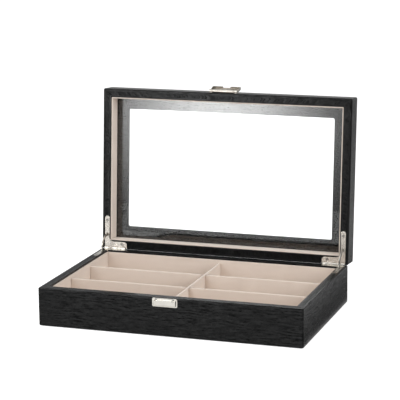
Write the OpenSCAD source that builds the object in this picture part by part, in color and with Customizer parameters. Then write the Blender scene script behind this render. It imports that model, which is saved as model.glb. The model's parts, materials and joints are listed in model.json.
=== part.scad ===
// Glazed display box with a lined tray of six long compartments.
// The lid is drawn shut and then swung open about the hinge line.
// Origin: centre of the underside. +X right, +Y back, +Z up. Millimetres.

/* [Case] */
// Outside width, side to side
box_w = 330; // [280:1:380]
// Outside depth, front to back
box_d = 209; // [180:1:260]
// Height of the lower part, table to rim
body_h = 48; // [42:0.5:70]
// Height of the lid, rim to top
lid_h = 27; // [25:0.5:40]
// Thickness of the wall boards
board_t = 9.4; // [9:0.1:12]
// Thickness of the bottom board
bottom_t = 5; // [3:0.5:8]
// Gap between the two rims when shut
rim_gap = 0.4; // [0.3:0.1:0.8]

/* [Covering] */
// Thickness of the leatherette covering
skin_t = 0.8; // [0.7:0.05:1]
// Radius of the upright corners
corner_r = 2; // [0.5:0.1:2]
// Radius of the covered long edges
edge_r = 1.5; // [1.3:0.1:1.6]
// How far the covering turns in below the body rim
turn_in = 14; // [6:1:25]
// How far the covering turns in past the lid rim
lid_turn_in = 12; // [6:1:15]
// How far the covering turns under the base
turn_under = 16; // [8:1:30]
// Thickness of the felt sheet under the base
felt_t = 0.8; // [0.5:0.1:2]
// Distance from the outer faces to the felt
felt_inset = 3; // [2:0.5:6]

/* [Lining] */
// Thickness of the wall linings
lining_t = 1.5; // [1:0.1:2.5]
// Thickness of the floor lining
floor_lining_t = 1.2; // [0.8:0.1:3]
// Distance from the body rim down to its lining
lining_drop = 2.2; // [0.2:0.1:3]
// Distance from the lid rim up to its lining
lid_lining_drop = 0.6; // [0.2:0.1:3]
// Thickness of the dividers
divider_t = 3; // [2:0.1:5]
// Distance from the rim down to the divider tops
divider_drop = 6; // [2:0.5:10]
// Slack round dividers where they meet walls and each other
divider_gap = 0.1; // [0.05:0.05:0.3]

/* [Window] */
// Width of the border round the window
border_w = 27.2; // [22:0.1:40]
// Thickness of the window frame board
frame_t = 3.9; // [2.5:0.1:5]
// Radius of the window corners
window_r = 2.5; // [1:0.1:6]
// Thickness of the glass
glass_t = 2.6; // [2:0.1:3]
// Slack round the edge of the glass
glass_gap = 0.3; // [0.2:0.1:1]
// Slack between the glass and what holds it
glass_seat = 0.1; // [0.05:0.05:0.2]

/* [Hinges] */
// Angle at which the lid stops
open_deg = 94.5; // [80:0.5:96]
// Distance from the back face in to the hinge line
hinge_in = 0.6; // [0.4:0.1:0.7]
// Thickness of the leaves
leaf_t = 1.2; // [1:0.1:1.5]
// Width of the side arm of a leaf
leaf_w = 6.2; // [5.5:0.1:7]
// Length of the side arm from the back face
leaf_side = 43; // [38:1:60]
// Length of the back arm from the side face
leaf_back = 34; // [28:1:50]
// Distance from the leaf to the inner edge of the rim
leaf_margin = 1.1; // [0.8:0.1:1.5]
// Distance from the back arm to the inner edge of the rim
leaf_back_margin = 1.7; // [1:0.1:2]
// Radius inside the corner of a leaf
leaf_fillet = 6; // [3:0.5:8]
// Slack round a leaf in its recess
leaf_gap = 0.15; // [0.1:0.05:0.3]
// Radius of the hinge knuckles
knuckle_r = 2.1; // [1.9:0.05:2.3]
// Gap between neighbouring knuckles
knuckle_gap = 0.3; // [0.2:0.05:0.5]
// Radius of the hinge pin
pin_r = 0.9; // [0.7:0.05:1.1]
// Running clearance between a pin and its knuckles
pin_gap = 0.05; // [0.02:0.01:0.1]

/* [Stop arms] */
// Radius of the curved stop arm at its middle
arm_r = 18; // [16:0.5:20]
// Width of the stop arm
arm_w = 3.2; // [2.5:0.1:3.5]
// Thickness of the stop arm
arm_t = 1.2; // [0.8:0.1:1.5]
// Radius of the round ends of the stop arm
arm_end_r = 2.6; // [2.4:0.1:2.8]
// Slack round the stop arm in the leaf slots
arm_gap = 0.3; // [0.2:0.05:0.4]

/* [Screws] */
// Radius of the hinge screw heads
screw_head_r = 1.9; // [1.6:0.1:2.2]
// Radius of the screw shanks
screw_r = 1; // [0.8:0.05:1.2]
// Length of the screws
screw_l = 8; // [6:0.5:9]
// Slack round a screw shank
screw_gap = 0.05; // [0.02:0.01:0.1]
// Distance from the end of a side arm to its screw
screw_side = 6; // [4:0.5:10]
// Distance from the end of a back arm to its screw
screw_back = 7; // [5:0.5:10]

/* [Clasp] */
// Distance of the clasp from the middle, towards the right
clasp_x = -3; // [-20:0.5:20]
// Width of the catch plate
catch_w = 31.2; // [26:0.2:34]
// Height of the catch plate
catch_h = 10.4; // [9:0.2:14]
// Distance from the rim down to the catch plate
catch_drop = 0.5; // [0.3:0.1:2]
// Thickness of the catch plate
catch_t = 1; // [0.8:0.1:1.2]
// Height of the raised panel on the catch plate
catch_raise = 1.8; // [0.8:0.1:1.9]
// Distance between the two catch screws
catch_screws_x = 21.6; // [16:0.2:24]
// Distance from the top of the catch plate to its screws
catch_screw_drop = 1.6; // [1.5:0.1:4]
// Radius of the small screw heads
small_head_r = 1.1; // [1:0.05:1.2]
// Radius of the small screw shanks
small_r = 0.65; // [0.5:0.05:0.7]
// Width of the clasp
clasp_w = 37; // [36:0.5:42]
// Thickness of the clasp plate on the lid
clasp_plate_t = 0.8; // [0.6:0.1:0.9]
// Thickness of the flap
flap_t = 1; // [0.8:0.1:1.2]
// Radius of the clasp barrel
clasp_r = 2.1; // [1.9:0.05:2.3]
// Radius of the clasp pin
clasp_pin_r = 0.8; // [0.6:0.05:1]
// Width of each end knuckle of the clasp
clasp_knuckle_w = 4; // [3:0.1:5]
// Distance from the lid rim up to the clasp barrel's lowest line
clasp_up = 0.1; // [0.1:0.1:2]
// Free space between the clasp's moving and fixed faces
clasp_gap = 0.3; // [0.25:0.05:0.5]
// Angle between the turned back flap and the lid
flap_rest_deg = 14; // [12:1:30]
// Depth of the flap's sides and lip
flap_side = 3.5; // [3:0.1:3.6]
// Distance from the lid rim to the top of the clasp plate
clasp_plate_top = 17; // [14:0.5:20]
// Distance between the two clasp screws
clasp_screws_x = 27; // [20:0.5:28]

/* [Hidden] */
$fn = 64;

// Half sizes of the case in plan, from outside in
out_x = box_w / 2;
out_y = box_d / 2;
board_x = out_x - skin_t;
board_y = out_y - skin_t;
core_x = board_x - board_t;
core_y = board_y - board_t;
rim_t = board_t + 2 * skin_t;
in_x = out_x - rim_t;
in_y = out_y - rim_t;
room_x = in_x - lining_t;
room_y = in_y - lining_t;

// Heights of the body
board_z = felt_t + skin_t;
floor_z = board_z + bottom_t;
room_z = floor_z + floor_lining_t;
wall_top = body_h - skin_t;
lining_top = body_h - lining_drop;
divider_top = body_h - divider_drop;

// Heights of the lid when it is shut
rim_z = body_h + rim_gap;
top_z = rim_z + lid_h;
frame_top = top_z - skin_t;
frame_z = frame_top - frame_t;
frame_skin_z = frame_z - skin_t;
glass_top = frame_skin_z - glass_seat;
glass_z = glass_top - glass_t;

// Window
window_x = out_x - border_w;
window_y = out_y - border_w;

// Dividers
row_y = (room_y * 2 - 2 * divider_t) / 3;
cross_y = row_y / 2 + divider_t / 2;
divider_mid = (divider_top + room_z) / 2;

// Hinge line and leaf places, on the right; the left is mirrored
hinge_y = out_y - hinge_in;
hinge_z = body_h + rim_gap / 2;
leaf_in_x = in_x + leaf_margin;
leaf_out_x = leaf_in_x + leaf_w;
leaf_end_y = out_y - leaf_side;
leaf_end_x = out_x - leaf_back;
leaf_in_y = in_y + leaf_back_margin;
leaf_edge_y = out_y - skin_t + 0.1;
arm_x = leaf_in_x + leaf_w / 2;
barrel_x0 = leaf_end_x + 2;
barrel_x1 = leaf_out_x;
knuckles = 5;
knuckle_w = (barrel_x1 - barrel_x0 - (knuckles - 1) * knuckle_gap) / knuckles;
barrel_notch = knuckle_r + 0.4;
leaf_back_mid = (leaf_in_y + hinge_y - knuckle_r - knuckle_gap) / 2;
leaf_top = body_h;
lid_leaf_z = rim_z;

// Stop arm: the part of it behind each leaf, and the pocket that it slides into
arm_tail = asin((arm_end_r + leaf_t + rim_gap / 2 + 0.1) / arm_r);
arm_half = open_deg / 2 + arm_tail;
arm_end_deg = asin(arm_end_r / arm_r);
pocket_deg = arm_half + arm_end_deg + 3;
pocket_t = arm_t + 2 * arm_gap + 0.2;
slot_t = arm_t + 2 * arm_gap;
slot_w = arm_w + 2 * arm_gap + 0.4;

// Clasp: pivot line, and the flap's measures from it
pivot_z = rim_z + clasp_up + clasp_r;
pivot_out = clasp_r + clasp_gap;
pivot_y = -out_y - pivot_out;
catch_top = body_h - catch_drop;
catch_z = catch_top - catch_h;
lip_t = 1.2;
flap_l = pivot_z - catch_z + clasp_gap + lip_t;
flap_shoulder = 3;
tongue_x = clasp_w / 2 - clasp_knuckle_w - clasp_gap;
clasp_plate_z = pivot_z + flap_shoulder + 0.4;
clasp_plate_z1 = rim_z + clasp_plate_top;
clasp_screw_z = (clasp_plate_z + clasp_plate_z1) / 2;
catch_screw_z = catch_top - catch_screw_drop;
pilot = screw_r + screw_gap;

black = [0.13, 0.13, 0.135];
lining_c = [0.80, 0.72, 0.66];
board_c = [0.72, 0.58, 0.42];
metal_c = [0.85, 0.82, 0.76];

// Shapes that repeat

module round_rect(w, d, r) {
    square([w - 2 * r, d], center = true);
    square([w, d - 2 * r], center = true);
    for (x = [-1, 1], y = [-1, 1]) {
        translate([x * (w / 2 - r), y * (d / 2 - r)]) circle(r);
    }
}

// Block with rounded corners in plan and rounded long edges
module soft_block(w, d, z0, z1, corner, edge) {
    intersection() {
        translate([0, 0, z0]) linear_extrude(z1 - z0) round_rect(w, d, corner);
        translate([0, 0, (z0 + z1) / 2]) rotate([90, 0, 0])
            linear_extrude(d + 2, center = true) round_rect(w, z1 - z0, edge);
        translate([0, 0, (z0 + z1) / 2]) rotate([90, 0, 90])
            linear_extrude(w + 2, center = true) round_rect(d, z1 - z0, edge);
    }
}

// Box centred in plan, from its half sizes and its two heights
module slab(hx, hy, z0, z1) {
    translate([-hx, -hy, z0]) cube([2 * hx, 2 * hy, z1 - z0]);
}

module bar_x(x0, x1, y, z, r) {
    translate([x0, y, z]) rotate([0, 90, 0]) cylinder(h = x1 - x0, r = r);
}

module on_side(s) {
    if (s < 0) {
        mirror([1, 0, 0]) children();
    } else {
        children();
    }
}

module about_hinge(deg) {
    translate([0, hinge_y, hinge_z]) rotate([deg, 0, 0]) translate([0, -hinge_y, -hinge_z]) children();
}

module lid_pose() {
    about_hinge(-open_deg) children();
}

// Flips something of the body's rim over to the lid's rim
module flip_to_lid() {
    translate([0, 0, hinge_z]) mirror([0, 0, 1]) translate([0, 0, -hinge_z]) children();
}

// Piece of a ring round the hinge line; 0 degrees points to the front, and plus turns down
module hinge_ring(r0, r1, t, a0, a1) {
    translate([arm_x, hinge_y, hinge_z]) rotate([-90, 0, 0]) rotate([0, 90, 0]) rotate([0, 0, a0])
        rotate_extrude(angle = a1 - a0) translate([r0, -t / 2]) square([r1 - r0, t]);
}

// Countersunk screw that points down, its head flush with z = 0
module screw_down(l, r = screw_r, head_r = screw_head_r) {
    difference() {
        union() {
            translate([0, 0, -l]) cylinder(h = l - 0.5, r = r);
            translate([0, 0, -0.9]) cylinder(h = 0.9, r1 = r, r2 = head_r);
        }
        for (a = [0, 90]) {
            rotate([0, 0, a]) translate([-head_r * 0.6, -0.2, -0.4]) cube([head_r * 1.2, 0.4, 1]);
        }
    }
}

module screw_hole_down(l, r = screw_r, head_r = screw_head_r) {
    translate([0, 0, -l]) cylinder(h = l + 1, r = r + screw_gap);
    translate([0, 0, -0.9]) cylinder(h = 0.9, r1 = r + 0.1, r2 = head_r + 0.1);
    cylinder(h = 1, r = head_r + 0.1);
}

module leaf_screw_places() {
    for (p = [[arm_x, leaf_end_y + screw_side], [leaf_end_x + screw_back, leaf_back_mid]]) {
        translate([p[0], p[1], leaf_top]) children();
    }
}

module catch_screw_places() {
    for (x = [-1, 1]) {
        translate([clasp_x + x * catch_screws_x / 2, -out_y - catch_t, catch_screw_z])
            rotate([90, 0, 0]) children();
    }
}

module clasp_screw_places() {
    for (x = [-1, 1]) {
        translate([clasp_x + x * clasp_screws_x / 2, -out_y - clasp_plate_t, clasp_screw_z])
            rotate([90, 0, 0]) children();
    }
}

// Outline of a hinge leaf on the right, grown by g
module leaf_plan(g) {
    difference() {
        union() {
            translate([leaf_in_x - g, leaf_end_y + leaf_w / 2])
                square([leaf_w + 2 * g, leaf_edge_y + g - leaf_end_y - leaf_w / 2]);
            translate([arm_x, leaf_end_y + leaf_w / 2]) circle(leaf_w / 2 + g);
            translate([leaf_end_x + 4, leaf_in_y - g])
                square([leaf_out_x + g - leaf_end_x - 4, leaf_edge_y - leaf_in_y + 2 * g]);
            translate([leaf_end_x + 4, leaf_in_y + 4]) circle(4 + g);
            translate([leaf_end_x - g, leaf_in_y + 4])
                square([4 + g, leaf_edge_y - leaf_in_y - 4 + g]);
            translate([leaf_in_x - leaf_fillet, leaf_in_y - leaf_fillet])
                square([leaf_fillet + 1, leaf_fillet + 1]);
        }
        translate([leaf_in_x - leaf_fillet, leaf_in_y - leaf_fillet]) circle(leaf_fillet - g);
        translate([leaf_in_x - leaf_fillet - 1 - g, leaf_in_y - leaf_fillet - 2])
            square([leaf_fillet + 1, 2]);
        translate([leaf_in_x - leaf_fillet - 2, leaf_in_y - leaf_fillet - 1 - g])
            square([2, leaf_fillet + 1]);
    }
}

// Space that the leaf, barrel and stop arm take out of the body at one side
module leaf_recess() {
    translate([0, 0, leaf_top - leaf_t]) linear_extrude(leaf_t + 2) leaf_plan(leaf_gap);
    bar_x(barrel_x0 - 0.3, barrel_x1 + 0.3, hinge_y, hinge_z, barrel_notch);
}

module leaf_pocket() {
    hinge_ring(arm_r - arm_end_r - 0.4, arm_r + arm_end_r + 0.4, pocket_t, -3, pocket_deg);
}

module leaf_pilots() {
    leaf_screw_places() translate([0, 0, -screw_l - 0.5]) cylinder(h = screw_l, r = pilot);
}

// Everything cut for the hinges on the body's side of the hinge line
module hinge_cuts() {
    for (s = [-1, 1]) {
        on_side(s) {
            leaf_recess();
            leaf_pocket();
            leaf_pilots();
        }
    }
}

// Leaf on the body's side of the hinge line; odd says which knuckles it has
module leaf(odd) {
    difference() {
        union() {
            translate([0, 0, leaf_top - leaf_t]) linear_extrude(leaf_t) leaf_plan(0);
            for (i = [0 : knuckles - 1]) {
                if (i % 2 == odd) {
                    x = barrel_x0 + i * (knuckle_w + knuckle_gap);
                    bar_x(x, x + knuckle_w, hinge_y, hinge_z, knuckle_r);
                    translate([x, leaf_edge_y - 1, leaf_top - leaf_t])
                        cube([knuckle_w, hinge_y - leaf_edge_y + 1, leaf_t]);
                }
            }
        }
        for (i = [0 : knuckles - 1]) {
            if (i % 2 != odd) {
                x = barrel_x0 + i * (knuckle_w + knuckle_gap);
                bar_x(x - knuckle_gap, x + knuckle_w + knuckle_gap, hinge_y, hinge_z, knuckle_r + knuckle_gap);
            }
        }
        bar_x(barrel_x0 - 1, barrel_x1 + 1, hinge_y, hinge_z, pin_r + pin_gap);
        leaf_screw_places() screw_hole_down(leaf_t + 1);
        translate([arm_x - slot_t / 2, hinge_y - arm_r - slot_w / 2, leaf_top - leaf_t - 1])
            cube([slot_t, slot_w, leaf_t + 2]);
    }
}

// Stop arm on the right, in the pose where half of it lies in each part
module stop_arm() {
    hinge_ring(arm_r - arm_w / 2, arm_r + arm_w / 2, arm_t, -arm_half, arm_half);
    for (a = [-arm_half, arm_half]) {
        translate([arm_x - arm_t / 2, hinge_y - arm_r * cos(a), hinge_z - arm_r * sin(a)])
            rotate([0, 90, 0]) cylinder(h = arm_t, r = arm_end_r);
    }
}

// Mitred wall boards, from z0 to z1
module mitred_x(y_out, y_in, z0, z1) {
    translate([0, 0, z0]) linear_extrude(z1 - z0)
        polygon([[-board_x, y_out], [board_x, y_out], [core_x, y_in], [-core_x, y_in]]);
}

module mitred_y(x_out, x_in, z0, z1) {
    translate([0, 0, z0]) linear_extrude(z1 - z0)
        polygon([[x_out, -board_y], [x_out, board_y], [x_in, core_y], [x_in, -core_y]]);
}

// Base

module base_felt() {
    color([0.2, 0.2, 0.2]) {
        translate([0, 0, 0]) linear_extrude(felt_t)
            round_rect(box_w - 2 * felt_inset, box_d - 2 * felt_inset, corner_r);
        slab(out_x - turn_under - 0.2, out_y - turn_under - 0.2, felt_t - 0.1, board_z);
    }
}

module bottom_board() {
    color(board_c) slab(core_x, core_y, board_z, floor_z);
}

module front_board() {
    color(board_c) difference() {
        mitred_x(-board_y, -core_y, board_z, wall_top);
        catch_pilots();
    }
}

module back_board() {
    color(board_c) difference() {
        mitred_x(board_y, core_y, board_z, wall_top);
        hinge_cuts();
    }
}

module side_board(s) {
    color(board_c) difference() {
        mitred_y(s * board_x, s * core_x, board_z, wall_top);
        hinge_cuts();
    }
}

module left_board() {
    side_board(-1);
}

module right_board() {
    side_board(1);
}

module body_covering() {
    color(black) difference() {
        soft_block(box_w, box_d, felt_t, body_h, corner_r, edge_r);
        slab(board_x, board_y, board_z, body_h - turn_in);
        difference() {
            slab(board_x, board_y, body_h - turn_in - 1, wall_top);
            slab(core_x, core_y, 0, body_h + 1);
        }
        slab(in_x, in_y, board_z, body_h + 1);
        slab(out_x - turn_under, out_y - turn_under, 0, board_z + 1);
        for (s = [-1, 1]) {
            on_side(s) leaf_recess();
        }
        catch_pilots();
    }
}

// Lining and dividers

module floor_lining() {
    color(lining_c) slab(in_x - 0.1, in_y - 0.1, floor_z, room_z);
}

module lining_x(y0, z0, z1) {
    color(lining_c) translate([-in_x + 0.05, y0, z0]) cube([2 * in_x - 0.1, lining_t, z1 - z0]);
}

module lining_y(x0, z0, z1) {
    color(lining_c) translate([x0, -room_y + 0.05, z0]) cube([lining_t, 2 * room_y - 0.1, z1 - z0]);
}

module front_lining() {
    lining_x(-in_y, room_z, lining_top);
}

module back_lining() {
    lining_x(room_y, room_z, lining_top);
}

module left_lining() {
    lining_y(-in_x, room_z, lining_top);
}

module right_lining() {
    lining_y(room_x, room_z, lining_top);
}

// Full depth divider, notched from below where the two cross dividers pass
module centre_divider() {
    color(lining_c) difference() {
        translate([-divider_t / 2, -room_y + divider_gap, room_z])
            cube([divider_t, 2 * (room_y - divider_gap), divider_top - room_z]);
        for (y = [-1, 1]) {
            translate([-divider_t, y * cross_y - divider_t / 2 - divider_gap, room_z - 1])
                cube([2 * divider_t, divider_t + 2 * divider_gap, divider_mid + divider_gap - room_z + 1]);
        }
    }
}

// Full width divider, notched from above where the centre divider passes
module cross_divider(y) {
    color(lining_c) difference() {
        translate([-room_x + divider_gap, y - divider_t / 2, room_z])
            cube([2 * (room_x - divider_gap), divider_t, divider_top - room_z]);
        translate([-divider_t / 2 - divider_gap, y - divider_t, divider_mid])
            cube([divider_t + 2 * divider_gap, 2 * divider_t, divider_top - divider_mid + 1]);
    }
}

module front_cross_divider() {
    cross_divider(-cross_y);
}

module rear_cross_divider() {
    cross_divider(cross_y);
}

// Hinges

module left_body_leaf() {
    color(metal_c) on_side(-1) leaf(0);
}

module right_body_leaf() {
    color(metal_c) leaf(0);
}

module body_leaf_screws() {
    color(metal_c) for (s = [-1, 1]) {
        on_side(s) leaf_screw_places() screw_down(screw_l);
    }
}

module hinge_pins() {
    color(metal_c) for (s = [-1, 1]) {
        on_side(s) bar_x(barrel_x0, barrel_x1, hinge_y, hinge_z, pin_r);
    }
}

module left_lid_leaf() {
    color(metal_c) lid_pose() flip_to_lid() on_side(-1) leaf(1);
}

module right_lid_leaf() {
    color(metal_c) lid_pose() flip_to_lid() leaf(1);
}

module lid_leaf_screws() {
    color(metal_c) lid_pose() flip_to_lid() for (s = [-1, 1]) {
        on_side(s) leaf_screw_places() screw_down(screw_l);
    }
}

module left_stop_arm() {
    color(metal_c) about_hinge(-open_deg / 2) on_side(-1) stop_arm();
}

module right_stop_arm() {
    color(metal_c) about_hinge(-open_deg / 2) stop_arm();
}

// Lid

module lid_front_board() {
    color(board_c) lid_pose() difference() {
        mitred_x(-board_y, -core_y, rim_z + skin_t, frame_top);
        clasp_screw_places() translate([0, 0, -screw_l - 0.5]) cylinder(h = screw_l + 1, r = pilot);
    }
}

module lid_back_board() {
    color(board_c) lid_pose() difference() {
        mitred_x(board_y, core_y, rim_z + skin_t, frame_top);
        flip_to_lid() hinge_cuts();
    }
}

module lid_side_board(s) {
    color(board_c) lid_pose() difference() {
        mitred_y(s * board_x, s * core_x, rim_z + skin_t, frame_top);
        flip_to_lid() hinge_cuts();
    }
}

module lid_left_board() {
    lid_side_board(-1);
}

module lid_right_board() {
    lid_side_board(1);
}

module window_frame() {
    color(board_c) lid_pose() translate([0, 0, frame_z]) linear_extrude(frame_t) difference() {
        square([2 * core_x, 2 * core_y], center = true);
        round_rect(2 * (window_x + skin_t), 2 * (window_y + skin_t), window_r + skin_t);
    }
}

module lid_covering() {
    color(black) lid_pose() difference() {
        soft_block(box_w, box_d, rim_z, top_z, corner_r, edge_r);
        difference() {
            slab(board_x, board_y, rim_z + skin_t, frame_top);
            slab(core_x, core_y, rim_z - 1, top_z + 1);
        }
        translate([0, 0, frame_z]) linear_extrude(frame_t) difference() {
            square([2 * core_x + 1, 2 * core_y + 1], center = true);
            round_rect(2 * (window_x + skin_t), 2 * (window_y + skin_t), window_r + skin_t);
        }
        slab(in_x, in_y, rim_z - 1, frame_skin_z);
        slab(core_x + 0.5, core_y + 0.5, rim_z + lid_turn_in, frame_skin_z);
        translate([0, 0, rim_z - 1]) linear_extrude(lid_h + 2)
            round_rect(2 * window_x, 2 * window_y, window_r);
        flip_to_lid() for (s = [-1, 1]) {
            on_side(s) leaf_recess();
        }
        clasp_screw_places() translate([0, 0, -screw_l]) cylinder(h = screw_l + 1, r = pilot);
    }
}

module glass_pane() {
    color([0.85, 0.92, 0.95, 0.35]) lid_pose() slab(in_x - glass_gap, in_y - glass_gap, glass_z, glass_top);
}

module lid_front_lining() {
    lid_pose() lining_x(-in_y, rim_z + lid_lining_drop, glass_z - glass_seat);
}

module lid_back_lining() {
    lid_pose() lining_x(room_y, rim_z + lid_lining_drop, glass_z - glass_seat);
}

module lid_left_lining() {
    lid_pose() lining_y(-in_x, rim_z + lid_lining_drop, glass_z - glass_seat);
}

module lid_right_lining() {
    lid_pose() lining_y(room_x, rim_z + lid_lining_drop, glass_z - glass_seat);
}

// Catch on the body

module catch_pilots() {
    catch_screw_places() translate([0, 0, -screw_l - 0.5])
        cylinder(h = screw_l, r = small_r + screw_gap);
}

// Raised panel with sloping sides, on the face at y = 0
module raised_panel(w, h, up, slope) {
    intersection() {
        translate([0, 0, -h / 2]) linear_extrude(h)
            polygon([[-w / 2, 0], [w / 2, 0], [w / 2 - slope, -up], [slope - w / 2, -up]]);
        translate([-w / 2, 0, 0]) rotate([90, 0, 90]) linear_extrude(w)
            polygon([[0, -h / 2], [0, h / 2], [-up, h / 2 - slope], [-up, slope - h / 2]]);
    }
}

// Plate with a raised panel, which is open above round the two screws
module catch_plate() {
    c = 1.1;
    margin = 1.2;
    notch_w = 2 * small_head_r + 1.4;
    hw = catch_w / 2;
    panel_h = catch_h - 2 * margin;
    color(metal_c) difference() {
        union() {
            translate([clasp_x, -out_y, catch_top]) rotate([90, 0, 0]) linear_extrude(catch_t)
                polygon([[-hw, -c], [c - hw, 0], [hw - c, 0], [hw, -c],
                         [hw, c - catch_h], [hw - c, -catch_h], [c - hw, -catch_h], [-hw, c - catch_h]]);
            translate([clasp_x, -out_y - catch_t, catch_top - catch_h / 2])
                raised_panel(catch_w - 2 * margin, panel_h, catch_raise, 1);
        }
        catch_screw_places() {
            screw_hole_down(catch_t + 1, small_r, small_head_r);
            translate([-notch_w / 2, -small_head_r - 0.5, 0]) cube([notch_w, catch_h, catch_raise + 1]);
        }
    }
}

module catch_screws() {
    color(metal_c) catch_screw_places() screw_down(screw_l, small_r, small_head_r);
}

// Clasp on the lid

module clasp_plate() {
    color(metal_c) lid_pose() difference() {
        union() {
            translate([clasp_x, -out_y, clasp_plate_z]) rotate([90, 0, 0]) linear_extrude(clasp_plate_t)
                translate([0, (clasp_plate_z1 - clasp_plate_z) / 2])
                    round_rect(clasp_w, clasp_plate_z1 - clasp_plate_z, 1.5);
            for (s = [-1, 1]) {
                x0 = clasp_x + s * (clasp_w / 2 - clasp_knuckle_w / 2) - clasp_knuckle_w / 2;
                translate([x0, -out_y - clasp_plate_t, pivot_z])
                    cube([clasp_knuckle_w, clasp_plate_t, clasp_plate_z - pivot_z + 3]);
                bar_x(x0, x0 + clasp_knuckle_w, pivot_y, pivot_z, clasp_r);
            }
        }
        bar_x(clasp_x - clasp_w, clasp_x + clasp_w, pivot_y, pivot_z, clasp_pin_r + pin_gap);
        clasp_screw_places() screw_hole_down(clasp_plate_t + 1);
    }
}

module clasp_screws() {
    color(metal_c) lid_pose() clasp_screw_places() screw_down(screw_l);
}

module clasp_pin() {
    color(metal_c) lid_pose()
        bar_x(clasp_x - clasp_w / 2, clasp_x + clasp_w / 2, pivot_y, pivot_z, clasp_pin_r);
}

// Flap as it hangs when the clasp is shut, from the pivot line at the origin
module flap_down() {
    hw = clasp_w / 2;
    side_t = flap_t;
    y_out = -clasp_r;
    y_side = y_out + flap_side;
    difference() {
        union() {
            bar_x(-tongue_x, tongue_x, 0, 0, clasp_r);
            translate([-tongue_x, y_out, -flap_shoulder - 1])
                cube([2 * tongue_x, flap_t, flap_shoulder + 1]);
            translate([-hw, y_out, -flap_l]) cube([clasp_w, flap_t, flap_l - flap_shoulder]);
            translate([-hw, y_out, -flap_l]) cube([clasp_w, flap_side, lip_t]);
            for (x = [-hw, hw - side_t]) {
                translate([x, 0, 0]) rotate([90, 0, 90]) linear_extrude(side_t)
                    polygon([[y_out, -flap_shoulder], [y_out + flap_t + 0.6, -flap_shoulder],
                             [y_side, -flap_shoulder - 7], [y_side, -flap_l], [y_out, -flap_l]]);
            }
        }
        bar_x(-hw - 1, hw + 1, 0, 0, clasp_pin_r + pin_gap);
        translate([-5, y_out + flap_t + 0.8, -flap_l - 1]) cube([10, flap_side, lip_t + 2]);
    }
}

module clasp_flap() {
    color(metal_c) lid_pose() translate([clasp_x, pivot_y, pivot_z])
        rotate([-(180 - flap_rest_deg), 0, 0]) flap_down();
}

base_felt();
bottom_board();
front_board();
back_board();
left_board();
right_board();
body_covering();
floor_lining();
front_lining();
back_lining();
left_lining();
right_lining();
centre_divider();
front_cross_divider();
rear_cross_divider();
left_body_leaf();
right_body_leaf();
body_leaf_screws();
hinge_pins();
catch_plate();
catch_screws();
lid_front_board();
lid_back_board();
lid_left_board();
lid_right_board();
window_frame();
lid_covering();
glass_pane();
lid_front_lining();
lid_back_lining();
lid_left_lining();
lid_right_lining();
left_lid_leaf();
right_lid_leaf();
lid_leaf_screws();
clasp_plate();
clasp_screws();
clasp_pin();
clasp_flap();
left_stop_arm();
right_stop_arm();
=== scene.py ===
"""Looks of the glazed display box: covering, linings, hardware, glass, light and camera.

The box's shapes are written in millimetres, and make_object turns them into metres. The studio is in metres.
The lid's pieces are built as if the lid were shut, and LID_POSE swings them open.
"""

import json
import math

import bmesh
import bpy
from mathutils import Matrix, Vector, noise


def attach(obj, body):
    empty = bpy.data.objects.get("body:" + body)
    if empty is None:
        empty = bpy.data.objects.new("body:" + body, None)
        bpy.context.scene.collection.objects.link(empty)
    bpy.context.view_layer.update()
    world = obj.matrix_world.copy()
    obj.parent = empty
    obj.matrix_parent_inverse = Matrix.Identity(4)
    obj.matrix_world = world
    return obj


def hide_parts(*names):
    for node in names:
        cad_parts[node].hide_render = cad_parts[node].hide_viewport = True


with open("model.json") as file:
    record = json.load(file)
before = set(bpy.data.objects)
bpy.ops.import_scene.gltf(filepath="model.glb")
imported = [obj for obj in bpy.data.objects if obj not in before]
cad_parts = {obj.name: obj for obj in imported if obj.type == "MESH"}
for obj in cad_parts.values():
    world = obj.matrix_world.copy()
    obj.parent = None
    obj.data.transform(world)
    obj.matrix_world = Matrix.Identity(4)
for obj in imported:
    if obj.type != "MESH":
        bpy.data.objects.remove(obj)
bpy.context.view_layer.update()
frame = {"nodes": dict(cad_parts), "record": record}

MM = 0.001

# Sizes of the case, as in the solids
HALF_X, HALF_Y = 165.0, 104.5
BODY_H, LID_H, RIM_GAP = 48.0, 27.0, 0.4
SKIN = 0.8
RIM = 11.0
CORNER_R, EDGE_R = 2.0, 1.5
TURN_IN, LID_TURN_IN, TURN_UNDER = 14.0, 12.0, 16.0
FELT_T, FELT_INSET = 0.8, 3.0
LINING_T = 1.5
LINING_DROP, LID_LINING_DROP = 2.2, 0.6
FLOOR_Z, ROOM_Z = 6.6, 7.8
DIVIDER_T, DIVIDER_TOP = 3.0, 42.0
BORDER, WINDOW_R = 27.2, 2.5
FRAME_SKIN_Z = 21.5
GLASS_Z = 18.8
OPEN_DEG = 94.5
HINGE_Y, HINGE_Z = 103.9, 48.2

# Hinge barrels, and the leaves in plan: an arm along the side wall and one along the back wall
BARREL_X0, BARREL_X1, BARREL_NOTCH_R = 132.7, 161.6, 2.5
LEAF_W, LEAF_X_GAP, LEAF_Y_GAP = 6.2, 1.1, 1.7
LEAF_REACH_X, LEAF_REACH_Y = 34.0, 43.0
LEAF_CORNER_R, LEAF_FILLET_R = 4.0, 6.0
LEAF_DEEP, LEAF_PLAY = 1.2, 0.15

# Screws of the catch and the clasp, by the clasp's middle
CLASP_X = -3.0
CATCH_SCREW_X, CATCH_SCREW_Z, CATCH_SCREW_R = 10.8, 45.9, 0.7
CLASP_SCREW_X, CLASP_SCREW_Z, CLASP_SCREW_R = 13.5, 59.7, 1.05

IN_X, IN_Y = HALF_X - RIM, HALF_Y - RIM
ROOM_X, ROOM_Y = IN_X - LINING_T, IN_Y - LINING_T
CROSS_Y = (2 * ROOM_Y - 2 * DIVIDER_T) / 6 + DIVIDER_T / 2
RIM_Z = BODY_H + RIM_GAP

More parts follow.
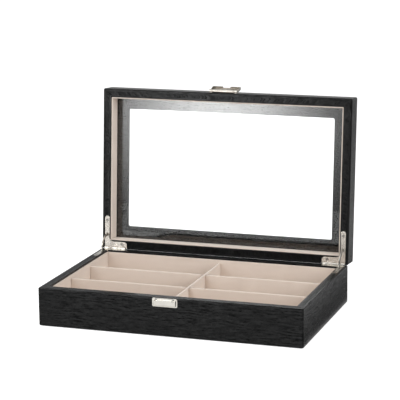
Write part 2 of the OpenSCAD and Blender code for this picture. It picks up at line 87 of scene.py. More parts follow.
HINGE = Vector((0, HINGE_Y, HINGE_Z)) * MM
SWING = Matrix.Rotation(math.radians(-OPEN_DEG), 4, "X")
LID_POSE = Matrix.Translation(HINGE) @ SWING @ Matrix.Translation(-HINGE)

# The covering's edges: inner corners, the roll of each inner edge, and how far beside an edge a face starts
SHARP_R = 0.3
RIM_R, WINDOW_EDGE_R, FRAME_EDGE_R = 0.7, 0.9, 0.6
BESIDE_EDGE, BESIDE_ROLL, BESIDE_UNDER, BESIDE_WINDOW = 2.5, 2.0, 4.0, 3.0
OUTER_WEAR, RIM_WEAR, WINDOW_WEAR, FRAME_WEAR = 1.0, 0.7, 1.0, 0.6

# Below 0, the wear value lowers the gloss of a rim's flat: on the body's rim to about half, and by the
# hinges further, as painted shade where lid and body meet
PAINTED_SHADE_BY_HINGES, MATT_RIM, PLAIN_RIM = -1.5, -1.0, 0.0

# How the grain lies on a face of the covering
ALONG_CASE, SIDE_TO_SIDE, ACROSS_EDGE = 0, 1, 2

# Room left between pieces of cloth and what they meet, and how far a cut for hardware starts outside
SNUG, LOOSE = 0.05, 0.1
BEYOND = 3.0


# Node helpers

def new_material(name):
    """A material with its Principled node; returns the material, its tree and that node."""
    mat = bpy.data.materials.new(name)
    mat.use_nodes = True
    tree = mat.node_tree
    return mat, tree, tree.nodes["Principled BSDF"]


def node(tree, kind, **settings):
    """Adds a node. Keys that start with in_ set an input by name, the others an attribute."""
    n = tree.nodes.new(kind)
    for key, value in settings.items():
        if key.startswith("in_"):
            n.inputs[key[3:].replace("_", " ")].default_value = value
        else:
            setattr(n, key, value)
    return n


def feed(tree, value, socket):
    """Gives an input a number, a colour or the output of another node."""
    if isinstance(value, (int, float)):
        socket.default_value = value
    elif isinstance(value, tuple):
        socket.default_value = (*value, 1.0)
    else:
        tree.links.new(value, socket)


def math_node(tree, op, a, b=None):
    n = node(tree, "ShaderNodeMath", operation=op)
    feed(tree, a, n.inputs[0])
    if b is not None:
        feed(tree, b, n.inputs[1])
    return n.outputs[0]


def weighted(tree, *terms):
    """Sum of values, each times its weight."""
    total = None
    for value, weight in terms:
        part = math_node(tree, "MULTIPLY", value, weight)
        total = part if total is None else math_node(tree, "ADD", total, part)
    return total


def remap(tree, value, lo, hi, to_lo, to_hi):
    n = node(tree, "ShaderNodeMapRange", in_From_Min=lo, in_From_Max=hi, in_To_Min=to_lo, in_To_Max=to_hi)
    tree.links.new(value, n.inputs["Value"])
    return n.outputs["Result"]


def stretched(tree, vector, scale):
    """The vector times a scale of its own on each axis."""
    n = node(tree, "ShaderNodeVectorMath", operation="MULTIPLY")
    tree.links.new(vector, n.inputs[0])
    n.inputs[1].default_value = scale
    return n.outputs[0]


def noise_at(tree, vector, scale, detail=2.0, rough=0.5, distort=0.0):
    """Noise of one scale, or with a scale for each axis where scale is a tuple."""
    if isinstance(scale, tuple):
        vector = stretched(tree, vector, scale)
        scale = 1.0
    n = node(tree, "ShaderNodeTexNoise", in_Scale=scale, in_Detail=detail, in_Roughness=rough,
             in_Distortion=distort)
    tree.links.new(vector, n.inputs["Vector"])
    return n.outputs["Fac"]


def object_coords(tree):
    return node(tree, "ShaderNodeTexCoord").outputs["Object"]


def mix_colour(tree, fac, a, b):
    n = node(tree, "ShaderNodeMix", data_type="RGBA")
    tree.links.new(fac, n.inputs["Factor"])
    feed(tree, a, n.inputs[6])
    feed(tree, b, n.inputs[7])
    return n.outputs[2]


def mix_number(tree, fac, a, b):
    n = node(tree, "ShaderNodeMix", data_type="FLOAT")
    tree.links.new(fac, n.inputs["Factor"])
    feed(tree, a, n.inputs[2])
    feed(tree, b, n.inputs[3])
    return n.outputs[0]


def bump(tree, height, strength, distance, base=None):
    n = node(tree, "ShaderNodeBump", in_Strength=strength, in_Distance=distance)
    tree.links.new(height, n.inputs["Height"])
    if base is not None:
        tree.links.new(base, n.inputs["Normal"])
    return n.outputs["Normal"]


# Materials

def leatherette():
    """Black coated cloth, embossed with fine wavy grain that runs along the case."""
    groove_black, crest_black = (0.0004, 0.0005, 0.0006), (0.0125, 0.0128, 0.0130)
    worn_black = (0.013, 0.013, 0.0135)
    waviness = 0.0036
    mat, t, p = new_material("black_leatherette")
    uv = node(t, "ShaderNodeUVMap", uv_map="grain").outputs["UV"]

    wave = noise_at(t, uv, (45.0, 130.0, 1.0))
    shift = t.nodes.new("ShaderNodeCombineXYZ")
    swing = math_node(t, "SUBTRACT", wave, 0.5)
    t.links.new(math_node(t, "MULTIPLY", swing, waviness), shift.inputs["Y"])
    moved = t.nodes.new("ShaderNodeVectorMath")
    t.links.new(uv, moved.inputs[0])
    t.links.new(shift.outputs[0], moved.inputs[1])
    wavy = moved.outputs[0]

    long_lines = noise_at(t, wavy, (62.0, 620.0, 1.0))
    short_lines = noise_at(t, wavy, (240.0, 1700.0, 1.0), 2.0, 0.6)
    pores = noise_at(t, uv, (2600.0, 2600.0, 1.0), 1.0)
    patches = noise_at(t, uv, (14.0, 26.0, 1.0))
    depth = remap(t, patches, 0.38, 0.60, 0.5, 0.9)
    grooves = remap(t, long_lines, 0.34, 0.64, -0.5, 0.5)
    fine = remap(t, short_lines, 0.34, 0.64, -0.5, 0.5)
    relief = weighted(t, (grooves, 0.55), (fine, 0.5))
    height = math_node(t, "ADD", math_node(t, "MULTIPLY", relief, depth), 0.5)

    wear_and_shade = node(t, "ShaderNodeAttribute", attribute_name="edge").outputs["Fac"]
    base = mix_colour(t, math_node(t, "POWER", height, 1.6), groove_black, crest_black)
    base = mix_colour(t, math_node(t, "MULTIPLY", wear_and_shade, 0.25), base, worn_black)
    t.links.new(base, p.inputs["Base Color"])
    polish = math_node(t, "MULTIPLY", wear_and_shade, 0.05)
    rough = math_node(t, "SUBTRACT", remap(t, height, 0.0, 1.0, 0.34, 0.20), polish)
    t.links.new(rough, p.inputs["Roughness"])
    n = bump(t, height, 0.9, 0.00007)
    n = bump(t, pores, 0.2, 0.00002, n)
    t.links.new(n, p.inputs["Normal"])
    # Less gloss where the value is below 0: lower gloss on the body's rim, and painted shade by the hinges
    matt_and_painted_shade = remap(t, wear_and_shade, -2.0, 0.0, 0.1, 1.0)
    gloss = math_node(t, "MULTIPLY", remap(t, height, 0.18, 0.86, 0.03, 0.37), matt_and_painted_shade)
    t.links.new(gloss, p.inputs["Specular IOR Level"])
    return mat


def lining_cloth(name, colour, darker):
    """Short suede-like pile on card: matt, with a soft sheen and brushed patches."""
    mat, t, p = new_material(name)
    at = object_coords(t)
    pile = noise_at(t, at, 2600.0, 2.0, 0.6)
    fibres = noise_at(t, at, (900.0, 900.0, 2200.0), 2.0, 0.6)
    brushed = noise_at(t, at, 28.0, 3.0, 0.55, 0.6)
    clouds = noise_at(t, at, 9.0)
    strokes = remap(t, brushed, 0.3, 0.7, 0.0, 1.0)
    tone = weighted(t, (strokes, 0.45), (pile, 0.35), (clouds, 0.2))
    t.links.new(mix_colour(t, tone, darker, colour), p.inputs["Base Color"])
    t.links.new(remap(t, brushed, 0.3, 0.7, 0.98, 0.88), p.inputs["Roughness"])
    n = bump(t, fibres, 0.25, 0.00025)
    n = bump(t, pile, 0.35, 0.00012, n)
    t.links.new(n, p.inputs["Normal"])
    p.inputs["Sheen Weight"].default_value = 0.25
    p.inputs["Sheen Roughness"].default_value = 0.5
    p.inputs["IOR"].default_value = 1.3
    return mat


def plated_metal(name, bright, dull, rough_lo, rough_hi, metallic=1.0):
    """Polished nickel with a faint warm tint, fine polishing lines and a few dull spots."""
    mat, t, p = new_material(name)
    at = object_coords(t)
    lines = noise_at(t, at, (260.0, 5200.0, 5200.0), 2.0, 0.6)
    spots = noise_at(t, at, 240.0, 3.0, 0.6)
    haze = noise_at(t, at, 60.0)
    base = mix_colour(t, remap(t, haze, 0.35, 0.7, 0.0, 1.0), bright, dull)
    t.links.new(base, p.inputs["Base Color"])
    brushed = remap(t, lines, 0.3, 0.7, rough_lo, rough_hi)
    t.links.new(math_node(t, "ADD", brushed, remap(t, spots, 0.55, 0.75, 0.0, 0.10)), p.inputs["Roughness"])
    n = bump(t, lines, 0.08, 0.00003)
    n = bump(t, spots, 0.10, 0.00008, n)
    t.links.new(n, p.inputs["Normal"])
    p.inputs["Metallic"].default_value = metallic
    return mat


def fibreboard():
    """Brown pressed board with flecks of fibre."""
    dark_brown, light_brown = (0.30, 0.19, 0.10), (0.46, 0.32, 0.19)
    mat, t, p = new_material("fibreboard")
    at = object_coords(t)
    flecks = noise_at(t, at, (900.0, 900.0, 300.0), 3.0, 0.7)
    clouds = noise_at(t, at, 40.0, 3.0)
    tone = remap(t, weighted(t, (flecks, 0.7), (clouds, 0.3)), 0.3, 0.7, 0.0, 1.0)
    t.links.new(mix_colour(t, tone, dark_brown, light_brown), p.inputs["Base Color"])
    t.links.new(remap(t, flecks, 0.2, 0.8, 0.95, 0.8), p.inputs["Roughness"])
    t.links.new(bump(t, flecks, 0.3, 0.0002), p.inputs["Normal"])
    return mat


def clear_glass():
    """Clear float glass with a trace of unevenness in its polish."""
    mat, t, p = new_material("clear_glass")
    smears = noise_at(t, object_coords(t), (14.0, 14.0, 40.0), 3.0, 0.6)
    t.links.new(remap(t, smears, 0.35, 0.75, 0.0, 0.018), p.inputs["Roughness"])
    p.inputs["Base Color"].default_value = (0.985, 0.995, 0.99, 1.0)
    p.inputs["Transmission Weight"].default_value = 1.0
    p.inputs["IOR"].default_value = 1.5
    return mat


LEATHER = leatherette()
CLOTH = lining_cloth("beige_lining_cloth", (0.80, 0.703, 0.624), (0.70, 0.60, 0.524))
FELT = lining_cloth("black_base_felt", (0.030, 0.030, 0.032), (0.015, 0.015, 0.016))
METAL = plated_metal("plated_nickel", (0.82, 0.79, 0.73), (0.72, 0.69, 0.63), 0.08, 0.16)
# Screws take a darkened copy of the nickel: painted shade for their recessed, shadowed heads
SHADED_SCREW_METAL = plated_metal("screw_nickel_painted_shade", (0.34, 0.325, 0.30), (0.24, 0.23, 0.21), 0.22, 0.36)
ARM_METAL = plated_metal("arm_steel", (0.56, 0.54, 0.50), (0.44, 0.425, 0.39), 0.14, 0.26)
FLAP_METAL = plated_metal("flap_nickel", (0.66, 0.62, 0.56), (0.54, 0.50, 0.45), 0.10, 0.20)
LEAF_METAL = plated_metal("leaf_nickel", (0.84, 0.79, 0.72), (0.62, 0.58, 0.525), 0.14, 0.28, 0.75)
BOARD = fibreboard()
GLASS = clear_glass()


# Mesh helpers

def make_object(name, bm, material, pose=None):
    """Object from a bmesh in millimetres."""
    bmesh.ops.recalc_face_normals(bm, faces=bm.faces[:])
    bm.transform(Matrix.Scale(MM, 4))
    mesh = bpy.data.meshes.new(name)
    bm.to_mesh(mesh)
    bm.free()
    mesh.materials.append(material)
    mesh.shade_smooth()
    obj = bpy.data.objects.new(name, mesh)
    bpy.context.scene.collection.objects.link(obj)
    if pose is not None:
        obj.matrix_world = pose
    return obj


def bake_modifiers(obj):
    """Replaces the mesh by what its modifiers make of it."""
    graph = bpy.context.evaluated_depsgraph_get()
    result = obj.evaluated_get(graph)
    mesh = bpy.data.meshes.new_from_object(result, preserve_all_data_layers=True, depsgraph=graph)
    obj.modifiers.clear()
    obj.data = mesh


def cut_away(obj, cutters):
    """Cuts closed meshes out of obj and deletes them."""
    bpy.context.view_layer.update()
    for c in cutters:
        c.matrix_world = obj.matrix_world
        m = obj.modifiers.new("cut", "BOOLEAN")
        m.operation = "DIFFERENCE"
        m.solver = "EXACT"
        m.object = c
    bpy.context.view_layer.update()
    bake_modifiers(obj)
    for c in cutters:
        bpy.data.objects.remove(c)


def even_normals(obj):
    m = obj.modifiers.new("normals", "WEIGHTED_NORMAL")
    m.weight = 80
    m.keep_sharp = True


def prism(outline, z0, z1):
    """Closed prism over a plan outline, for cutting."""
    bm = bmesh.new()
    low = [bm.verts.new((x, y, z0)) for x, y in outline]
    high = [bm.verts.new((x, y, z1)) for x, y in outline]
    bm.faces.new(low)
    bm.faces.new(high)
    count = len(outline)
    for i in range(count):
        j = (i + 1) % count
        bm.faces.new((low[i], low[j], high[j], high[i]))
    return make_object("cut", bm, LEATHER)


def rod(ends, r, sides=48):
    """Closed cylinder between two points on a line along X or Y, for cutting."""
    bm = bmesh.new()
    along_x = ends[0][0] != ends[1][0]
    rings = []
    for x, y, z in ends:
        ring = []
        for i in range(sides):
            a = 2 * math.pi * i / sides
            dx, dy = (0, r * math.cos(a)) if along_x else (r * math.cos(a), 0)
            ring.append(bm.verts.new((x + dx, y + dy, z + r * math.sin(a))))
        bm.faces.new(ring)
        rings.append(ring)
    for i in range(sides):
        j = (i + 1) % sides
        bm.faces.new((rings[0][i], rings[0][j], rings[1][j], rings[1][i]))
    return make_object("cut", bm, LEATHER)


def barrel_notch(side):
    """Room round a hinge barrel; side is 1 on the right and -1 on the left."""
    return rod([(side * x, HINGE_Y, HINGE_Z) for x in (BARREL_X0, BARREL_X1)], BARREL_NOTCH_R)


def screw_hole(x, z, r):
    """Hole through the skin of a front face."""
    return rod([(x, -HALF_Y - BEYOND, z), (x, -HALF_Y + SKIN + BEYOND, z)], r, 24)


def arc(cx, cy, r, a0, a1, steps):
    """Points on an arc, angles in degrees."""
    out = []
    for i in range(steps + 1):
        a = math.radians(a0 + (a1 - a0) * i / steps)
        out.append((cx + r * math.cos(a), cy + r * math.sin(a)))
    return out


def leaf_outline(side):
    """Plan outline of a hinge leaf with a little play; side is 1 on the right and -1 on the left."""
    x_in = IN_X + LEAF_X_GAP
    x_out = x_in + LEAF_W
    x_end, y_end = HALF_X - LEAF_REACH_X, HALF_Y - LEAF_REACH_Y
    y_in, y_edge = IN_Y + LEAF_Y_GAP, HALF_Y - SKIN + 0.1
    play, fillet, corner, tip = LEAF_PLAY, LEAF_FILLET_R, LEAF_CORNER_R, LEAF_W / 2
    pts = [(x_out + play, y_edge + play), (x_end - play, y_edge + play)]
    pts += arc(x_end + corner, y_in + corner, corner + play, 180, 270, 10)
    pts += arc(x_in - fillet, y_in - fillet, fillet - play, 90, 0, 10)
    pts += arc(x_in + tip, y_end + tip, tip + play, 180, 360, 20)
    return [(side * x, y) for x, y in pts]


def ring_points(hx, hy, r, steps):
    """Rounded rectangle, from the middle of its right side round to the left."""
    r = max(r, 0.05)
    cx, cy = hx - r, hy - r
    pts = []
    for x, y, a in ((cx, cy, 0), (-cx, cy, 90), (-cx, -cy, 180), (cx, -cy, 270)):
        pts += arc(x, y, r, a, a + 90, steps)
    return pts


# Coverings, each swept round the case along a path of (inset, height, corner radius, edge wear, lay)

def flat(inset, z, corner=SHARP_R, lay=ALONG_CASE):
    """Path point on a face without wear."""
    return (inset, z, corner, 0, lay)


def outer_roll(z, start, end, shrink):
    """Path round an outer edge about height z; with shrink its corners tighten as it goes in."""
    path = []
    for x, y in arc(0, z, EDGE_R, start, end, 6):
        inset = EDGE_R - x
        path.append((inset, y, CORNER_R - inset if shrink else CORNER_R, OUTER_WEAR, ALONG_CASE))
    return path


def inner_roll(inset, z, r, angles, steps, corner, wear_and_shade):
    """Path round an inner edge, about height z and out to an inset."""
    return [(inset - r + x, y, corner, wear_and_shade, ALONG_CASE) for x, y in arc(0, z, r, *angles, steps)]


def upright(bottom, top):
    """Path up a side between its rolled edges."""
    low, high = bottom + EDGE_R + BESIDE_EDGE, top - EDGE_R - BESIDE_EDGE
    return [flat(0, z, CORNER_R) for z in (low, (bottom + top) / 2, high)]


def skin_mesh(path, z0, steps=8):
    """Sweeps a closed path round the case, from height z0.

    The grain runs along the case, but over a whole face from side to side where both ends of a stretch of
    the path are SIDE_TO_SIDE, and across the edge where both are ACROSS_EDGE. These are cut from other
    places of the cloth.
    """
    face_u, face_v, rim_u = 600, 900, 300
    bm = bmesh.new()
    uv = bm.loops.layers.uv.new("grain")
    edge = bm.verts.layers.float.new("edge")
    outer = ring_points(HALF_X, HALF_Y, CORNER_R, steps)
    count = len(outer)
    along = [0.0]
    for i in range(count):
        along.append(along[-1] + math.dist(outer[i], outer[(i + 1) % count]))
    rings = []
    across = [0.0]
    for k, (inset, z, r, wear_and_shade, lay) in enumerate(path):
        ring = []
        for x, y in ring_points(HALF_X - inset, HALF_Y - inset, r, steps):
            v = bm.verts.new((x, y, z0 + z))
            v[edge] = wear_and_shade
            ring.append(v)
        rings.append(ring)
        nxt = path[(k + 1) % len(path)]
        across.append(across[-1] + math.hypot(nxt[0] - inset, nxt[1] - z))
    for k in range(len(path)):
        after = (k + 1) % len(path)
        a, b = rings[k], rings[after]
        lay = path[k][4] if path[k][4] == path[after][4] else ALONG_CASE
        for i in range(count):
            j = (i + 1) % count
            f = bm.faces.new((a[i], a[j], b[j], b[i]))
            corners = [(along[i], across[k]), (along[i + 1], across[k])]
            corners += [(along[i + 1], across[k + 1]), (along[i], across[k + 1])]
            for loop, (u, v) in zip(f.loops, corners):
                co = loop.vert.co
                place = ((u, v), (co.x + face_u, co.y + face_v), (v + rim_u, u))[lay]
                loop[uv].uv = (place[0] * MM, place[1] * MM)
    return bm


def mark_rim(obj, height, value):
    """Marks the flat of a rim with a value, and by the hinges with their own, which paints shade there."""
    outer, inner = EDGE_R + BESIDE_ROLL - 0.1, RIM - 1.0
    close = 0.05
    edge = obj.data.attributes["edge"].data
    for v in obj.data.vertices:
        x, y, z = v.co / MM
        inset = min(HALF_X - abs(x), HALF_Y - abs(y))
        if abs(z - height) < close and outer < inset < inner:
            edge[v.index].value = PAINTED_SHADE_BY_HINGES if y > HALF_Y - RIM else value


def cut_for_hardware(obj, leaf_z0, leaf_z1, screw_x, screw_z, screw_r):
    """Cuts the room for both hinges and two screws into a covering."""
    cutters = []
    for side in (-1, 1):
        cutters.append(prism(leaf_outline(side), leaf_z0, leaf_z1))
        cutters.append(barrel_notch(side))
        cutters.append(screw_hole(CLASP_X + side * screw_x, screw_z, screw_r))
    cut_away(obj, cutters)


def body_covering():
    """Skin of the lower part: turned under, up the sides, over the rim and in."""
    h = BODY_H - FELT_T
    path = [flat(TURN_UNDER, 0), flat(EDGE_R + BESIDE_UNDER, 0)]
    path += outer_roll(EDGE_R, 270, 360, False)
    path += upright(0, h)
    path += outer_roll(h - EDGE_R, 0, 90, True)
    path += [flat(EDGE_R + BESIDE_ROLL, h), flat(RIM - BESIDE_EDGE, h)]
    path += inner_roll(RIM, h - RIM_R, RIM_R, (90, 0), 4, SHARP_R, RIM_WEAR)
    path += [flat(RIM, h - TURN_IN), flat(RIM - SKIN, h - TURN_IN), flat(RIM - SKIN, h - SKIN)]
    path += [flat(SKIN, h - SKIN, CORNER_R - SKIN), flat(SKIN, SKIN, CORNER_R - SKIN)]
    path += [flat(TURN_UNDER, SKIN)]
    obj = make_object("leatherette_body", skin_mesh(path, FELT_T), LEATHER)
    cut_for_hardware(obj, BODY_H - LEAF_DEEP, BODY_H + BEYOND, CATCH_SCREW_X, CATCH_SCREW_Z, CATCH_SCREW_R)
    mark_rim(obj, BODY_H, MATT_RIM)
    even_normals(obj)
    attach(obj, "base")
    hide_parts("body_covering")


def lid_covering():
    """Skin of the lid: from inside over rim, sides and top, round the window and back under the frame."""
    top = LID_H
    frame_z = FRAME_SKIN_Z
    path = [flat(RIM, LID_TURN_IN)]
    path += inner_roll(RIM, RIM_R, RIM_R, (360, 270), 4, SHARP_R, RIM_WEAR)
    path += [flat(inset, 0.0, SHARP_R, ACROSS_EDGE) for inset in (RIM - BESIDE_EDGE, EDGE_R + BESIDE_ROLL)]
    path += outer_roll(EDGE_R, 270, 360, True)
    path += upright(0, top)
    path += outer_roll(top - EDGE_R, 0, 90, False)
    border = ((EDGE_R + BESIDE_ROLL, 1.0), (BORDER / 2 + 3, 1.5), (BORDER - BESIDE_WINDOW, WINDOW_R))
    path += [flat(inset, top, corner, SIDE_TO_SIDE) for inset, corner in border]
    path += inner_roll(BORDER, top - WINDOW_EDGE_R, WINDOW_EDGE_R, (90, 0), 5, WINDOW_R, WINDOW_WEAR)
    path += [flat(BORDER, (top + frame_z) / 2, WINDOW_R)]
    path += inner_roll(BORDER, frame_z + FRAME_EDGE_R, FRAME_EDGE_R, (360, 270), 4, WINDOW_R, FRAME_WEAR)
    path += [flat(BORDER - BESIDE_EDGE, frame_z, WINDOW_R, SIDE_TO_SIDE)]
    path += [flat(RIM - SKIN, frame_z, SHARP_R, SIDE_TO_SIDE), flat(RIM - SKIN, frame_z + SKIN)]
    path += [flat(BORDER - SKIN, frame_z + SKIN, WINDOW_R), flat(BORDER - SKIN, top - SKIN, WINDOW_R)]
    path += [flat(SKIN, top - SKIN, CORNER_R - SKIN), flat(SKIN, SKIN, CORNER_R - SKIN)]
    path += [flat(RIM - SKIN, SKIN), flat(RIM - SKIN, LID_TURN_IN)]
    obj = make_object("leatherette_lid", skin_mesh(path, RIM_Z), LEATHER, LID_POSE)
    cut_for_hardware(obj, RIM_Z - BEYOND, RIM_Z + LEAF_DEEP, CLASP_SCREW_X, CLASP_SCREW_Z, CLASP_SCREW_R)
    mark_rim(obj, RIM_Z, PLAIN_RIM)
    even_normals(obj)
    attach(obj, "lid")
    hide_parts("lid_covering")


# Cloth

def cloth_box(lo, hi, r, seed, wobble=0.10, step=9.0):
    """Box wrapped in cloth: rounded edges and faces that aren't quite flat."""
    wobble_scale = 0.05
    bm = bmesh.new()
    bmesh.ops.create_cube(bm, size=1.0)
    lo, hi = Vector(lo), Vector(hi)
    size = hi - lo
    for v in bm.verts:
        v.co = Vector((lo[i] + (v.co[i] + 0.5) * size[i] for i in range(3)))
    bmesh.ops.bevel(bm, geom=bm.edges[:], offset=r, segments=3, profile=0.5, affect="EDGES")
    for axis in range(3):
        cuts = int(size[axis] / step)
        for i in range(1, cuts + 1):
            at = lo.copy()
            at[axis] += size[axis] * i / (cuts + 1)
            way = Vector((0, 0, 0))
            way[axis] = 1
            geom = bm.verts[:] + bm.edges[:] + bm.faces[:]
            bmesh.ops.bisect_plane(bm, geom=geom, plane_co=at, plane_no=way)
    bm.normal_update()
    offset = Vector((seed * 13.7, seed * 5.1, seed * 9.3))
    moves = []
    for v in bm.verts:
        dip = wobble * (0.5 + 0.5 * noise.noise(v.co * wobble_scale + offset))
        moves.append((v, -dip * v.normal))
    for v, move in moves:
        v.co += move
    return bm


def cloth_piece(name, cad, lo, hi, body, seed, r=0.5, pose=None, notches=()):
    """Piece of lining between two corners, with box-shaped notches, in place of a CAD node."""
    obj = make_object(name, cloth_box(lo, hi, r, seed), CLOTH, pose)
    if notches:
        cutters = []
        for (x0, y0, z0), (x1, y1, z1) in notches:
            cutters.append(prism([(x0, y0), (x1, y0), (x1, y1), (x0, y1)], z0, z1))
        cut_away(obj, cutters)
    even_normals(obj)
    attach(obj, body)
    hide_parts(cad)


def wall_linings(part, body, z0, z1, seed, pose=None):
    """Strips of lining on the four walls; part is the first word of their names after cloth."""
    long_x, long_y = IN_X - SNUG, ROOM_Y - SNUG
    walls = {
        "front": ((-long_x, -IN_Y), (long_x, -ROOM_Y)),
        "back": ((-long_x, ROOM_Y), (long_x, IN_Y)),
        "left": ((-IN_X, -long_y), (-ROOM_X, long_y)),
        "right": ((ROOM_X, -long_y), (IN_X, long_y)),
    }
    for i, (place, (lo, hi)) in enumerate(walls.items()):
        name = part + place
        cloth_piece("cloth_" + name, name + "_lining", (*lo, z0), (*hi, z1), body, seed + i, pose=pose)


def tray():
    """Linings and dividers of the lower part."""
    floor_x, floor_y = IN_X - LOOSE, IN_Y - LOOSE
    floor_lo, floor_hi = (-floor_x, -floor_y, FLOOR_Z), (floor_x, floor_y, ROOM_Z)
    cloth_piece("cloth_floor", "floor_lining", floor_lo, floor_hi, "base", 1, 0.4)
    wall_linings("", "base", ROOM_Z, BODY_H - LINING_DROP, 2)

    half = DIVIDER_T / 2
    slot = half + LOOSE
    beyond, above, below = 5, 2, 1
    middle = (DIVIDER_TOP + ROOM_Z) / 2
    long_x, long_y = ROOM_X - LOOSE, ROOM_Y - LOOSE
    notches = []
    for s in (-1, 1):
        y = s * CROSS_Y
        notches.append(((-beyond, y - slot, ROOM_Z - below), (beyond, y + slot, middle + LOOSE)))
    lo, hi = (-half, -long_y, ROOM_Z), (half, long_y, DIVIDER_TOP)
    cloth_piece("cloth_centre_divider", "centre_divider", lo, hi, "base", 6, 1.0, notches=notches)
    for s, place in ((-1, "front"), (1, "rear")):
        y = s * CROSS_Y
        lo, hi = (-long_x, y - half, ROOM_Z), (long_x, y + half, DIVIDER_TOP)
        notch = ((-slot, y - beyond, middle), (slot, y + beyond, DIVIDER_TOP + above))
        name, cad = "cloth_" + place + "_divider", place + "_cross_divider"
        cloth_piece(name, cad, lo, hi, "base", 8 + s, 1.0, notches=[notch])


def lid_linings():
    """Cloth strips inside the lid that hold the glass."""
    wall_linings("lid_", "lid", RIM_Z + LID_LINING_DROP, RIM_Z + GLASS_Z - LOOSE, 11, LID_POSE)


def felt():
    """Flat felt sheet under the base, below the turned-under edge of the skin."""
    x, y = HALF_X - FELT_INSET, HALF_Y - FELT_INSET
    bm = cloth_box((-x, -y, 0), (x, y, FELT_T), 0.25, 20, wobble=0.0, step=14.0)
    obj = make_object("felt_sheet", bm, FELT)
    even_normals(obj)
    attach(obj, "base")
    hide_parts("base_felt")


# Solids that stay

def dress_cad_nodes():
    """Materials on the solids that stay, with fine rounded edges on the hardware and the glass."""
    glass_edge, metal_edge = 0.3 * MM, 0.14 * MM
    by_slot = {"hardware": METAL, "board": BOARD, "glass": GLASS}
    by_slot.update({"leatherette": LEATHER, "lining": CLOTH, "felt": FELT})
    by_name = {
        "left_stop_arm": ARM_METAL,
        "right_stop_arm": ARM_METAL,
        "left_lid_leaf": LEAF_METAL,
        "right_lid_leaf": LEAF_METAL,
    }
    for name in ("body_leaf_screws", "lid_leaf_screws", "catch_screws", "clasp_screws"):
        by_name[name] = SHADED_SCREW_METAL
    for name in ("clasp_flap", "clasp_plate", "clasp_pin"):
        by_name[name] = FLAP_METAL
    for sub in frame["record"]["subparts"]:
        name, slot = sub["node"], sub["material_slot"]
        obj = frame["nodes"][name]
        obj.data.materials.clear()
        obj.data.materials.append(by_name.get(name, by_slot[slot]))
        if slot in ("hardware", "glass"):
            if "custom_normal" in obj.data.attributes:
                obj.data.attributes.remove(obj.data.attributes["custom_normal"])
            obj.data.shade_smooth()
            weld = obj.modifiers.new("weld", "WELD")
            weld.merge_threshold = 0.002 * MM
            bevel = obj.modifiers.new("edges", "BEVEL")
            bevel.width = glass_edge if slot == "glass" else metal_edge
            bevel.segments = 2
            bevel.limit_method = "ANGLE"
            bevel.angle_limit = math.radians(35)
            bevel.harden_normals = False
            even_normals(obj)


# Studio, in metres

def studio():
    """White floor and background, soft overhead and side light, and a low soft box for the glass."""
    scene = bpy.context.scene
    scene.view_settings.view_transform = "Standard"
    world = bpy.data.worlds.new("studio")
    scene.world = world
    world.use_nodes = True
    back = world.node_tree.nodes["Background"]
    back.inputs["Color"].default_value = (1.0, 1.0, 1.0, 1.0)
    world.node_tree.links.new(studio_walls(world.node_tree), back.inputs["Strength"])
    white_floor()

    middle = (0.0, 0.0, 0.1)
    area("overhead", (-0.35, -0.35, 1.5), middle, 1.5, 1.2, 6.2)
    area("front_left", (-1.0, -1.3, 1.1), middle, 0.9, 0.7, 8.5)
    area("right_side", (1.35, -0.55, 0.75), middle, 1.0, 0.9, 12.0)
    soft_box()
    table_card("dark_card", (0.0, -4.67), (8.0, 8.16), 0.06)
    # Darker strip along the case's right foot: painted shadow of the case on the table, which the right side
    # mirrors
    table_card("foot_shadow_card", (0.183, 0.05), (0.03, 0.7), 0.19)
    table_card("grey_card", (1.498, 0.05), (2.6, 0.7), 0.55)
    table_card("pale_card", (1.498, 1.25), (2.6, 1.7), 0.6)


def light_paths(tree):
    """Two outputs: what is looked at straight or through glass, and what is mirrored."""
    path = tree.nodes.new("ShaderNodeLightPath").outputs
    seen = math_node(tree, "MAXIMUM", path["Is Camera Ray"], path["Is Transmission Ray"])
    return seen, path["Is Glossy Ray"]


def studio_walls(tree):
    """White to look at. Mirrored, the studio is white behind the case and dim on the camera's side."""
    seen, mirrored = light_paths(tree)
    way = tree.nodes.new("ShaderNodeSeparateXYZ")
    tree.links.new(node(tree, "ShaderNodeTexCoord").outputs["Generated"], way.inputs[0])
    in_mirrors = remap(tree, way.outputs["Y"], -0.25, 0.35, 0.12, 0.5)
    lit = mix_number(tree, mirrored, 0.42, in_mirrors)
    return mix_number(tree, seen, lit, 1.0)


def square(name, half_side, mat):
    """Flat square in metres."""
    bm = bmesh.new()
    bmesh.ops.create_grid(bm, x_segments=2, y_segments=2, size=half_side / MM)
    return make_object(name, bm, mat)


def white_floor():
    """Floor that looks white and is mirrored dimly, and keeps the case's shadow."""
    mat, t, p = new_material("white_floor")
    speck = noise_at(t, object_coords(t), 3.0)
    grey, pale = (0.80, 0.80, 0.80), (0.84, 0.84, 0.84)
    t.links.new(mix_colour(t, speck, grey, pale), p.inputs["Base Color"])
    p.inputs["Roughness"].default_value = 0.9
    p.inputs["Specular IOR Level"].default_value = 0.0
    p.inputs["Emission Color"].default_value = (1.0, 1.0, 1.0, 1.0)
    seen, mirrored = light_paths(t)
    seen_glow = math_node(t, "MULTIPLY", seen, 0.75)
    mirrored_glow = math_node(t, "MULTIPLY", mirrored, 0.12)
    t.links.new(math_node(t, "MAXIMUM", seen_glow, mirrored_glow), p.inputs["Emission Strength"])
    floor = square("floor", 12.0, mat)
    floor.location.z = -0.00002


def aim(obj, place, target):
    obj.location = place
    way = Vector(target) - Vector(place)
    obj.rotation_euler = way.to_track_quat("-Z", "Y").to_euler()


def area(name, place, target, width, height, watts):
    lamp = bpy.data.lights.new(name, "AREA")
    lamp.shape = "RECTANGLE"
    lamp.size = width
    lamp.size_y = height
    lamp.energy = watts
    obj = bpy.data.objects.new(name, lamp)
    bpy.context.scene.collection.objects.link(obj)
    aim(obj, place, target)


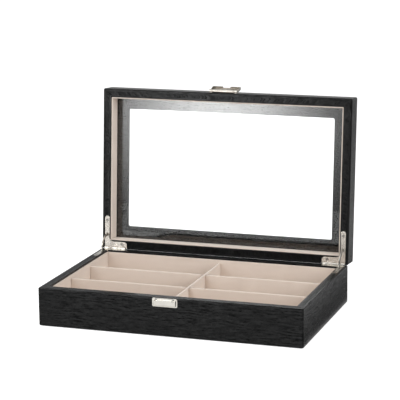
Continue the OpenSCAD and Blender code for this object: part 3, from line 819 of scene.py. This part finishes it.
def falloff(tree, square_distance, spread, strength):
    """Glow that fades evenly from its middle."""
    fade = math_node(tree, "EXPONENT", math_node(tree, "MULTIPLY", square_distance, -spread))
    return math_node(tree, "MULTIPLY", fade, strength)


def soft_box():
    """Low soft box in front on the left, hottest in its middle; its mirror image lights the glass border."""
    mat, t, p = new_material("soft_box")
    length = node(t, "ShaderNodeVectorMath", operation="LENGTH")
    t.links.new(stretched(t, object_coords(t), (1.0, 1.15, 1.0)), length.inputs[0])
    square_distance = math_node(t, "POWER", length.outputs["Value"], 2.0)
    spot = falloff(t, square_distance, 30.0, 8.5)
    halo = falloff(t, square_distance, 6.0, 0.4)
    p.inputs["Base Color"].default_value = (0.0, 0.0, 0.0, 1.0)
    p.inputs["Specular IOR Level"].default_value = 0.0
    p.inputs["Emission Color"].default_value = (1.0, 1.0, 1.0, 1.0)
    t.links.new(math_node(t, "ADD", spot, halo), p.inputs["Emission Strength"])
    box = square("soft_box", 0.65, mat)
    aim(box, (-0.487, -1.32, 0.215), (0.0, 0.12, 0.2))
    box.visible_camera = False
    box.visible_shadow = False


def table_card(name, middle, size, tone):
    """Card on the table that only mirrors, glass and gloss show."""
    mat, t, p = new_material(name)
    speck = noise_at(t, object_coords(t), 5.0)
    t.links.new(mix_colour(t, speck, (tone * 0.9,) * 3, (tone * 1.1,) * 3), p.inputs["Base Color"])
    p.inputs["Roughness"].default_value = 0.9
    card = square(name, 0.5, mat)
    card.scale = (*size, 1.0)
    card.location = (*middle, 0.002)
    card.visible_camera = False
    card.visible_diffuse = False
    card.visible_transmission = False
    card.visible_shadow = False


def camera():
    """The photograph's view, fitted to the corners of the case."""
    image_px, focal_px = 400.0, 1757.0
    azimuth, elevation, roll = 18.8099, 12.3588, -0.5901
    target = Vector((6.071, 0.0, 143.824)) * MM
    distance = 2128.8 * MM
    sensor = 36.0
    az, el, rl = (math.radians(a) for a in (azimuth, elevation, roll))
    back = Vector((math.sin(az) * math.cos(el), -math.cos(az) * math.cos(el), math.sin(el)))
    level_right = (-back).cross(Vector((0, 0, 1))).normalized()
    level_up = level_right.cross(-back)
    right = level_right * math.cos(rl) + level_up * math.sin(rl)
    up = level_up * math.cos(rl) - level_right * math.sin(rl)
    data = bpy.data.cameras.new("camera")
    data.sensor_width = sensor
    data.sensor_fit = "HORIZONTAL"
    data.lens = focal_px / image_px * sensor
    data.clip_start, data.clip_end = 0.05, 60.0
    cam = bpy.data.objects.new("camera", data)
    turn = Matrix((right, up, back)).transposed()
    cam.matrix_world = Matrix.Translation(target + back * distance) @ turn.to_4x4()
    bpy.context.scene.collection.objects.link(cam)
    bpy.context.scene.camera = cam


camera()
dress_cad_nodes()
body_covering()
lid_covering()
tray()
lid_linings()
felt()
studio()
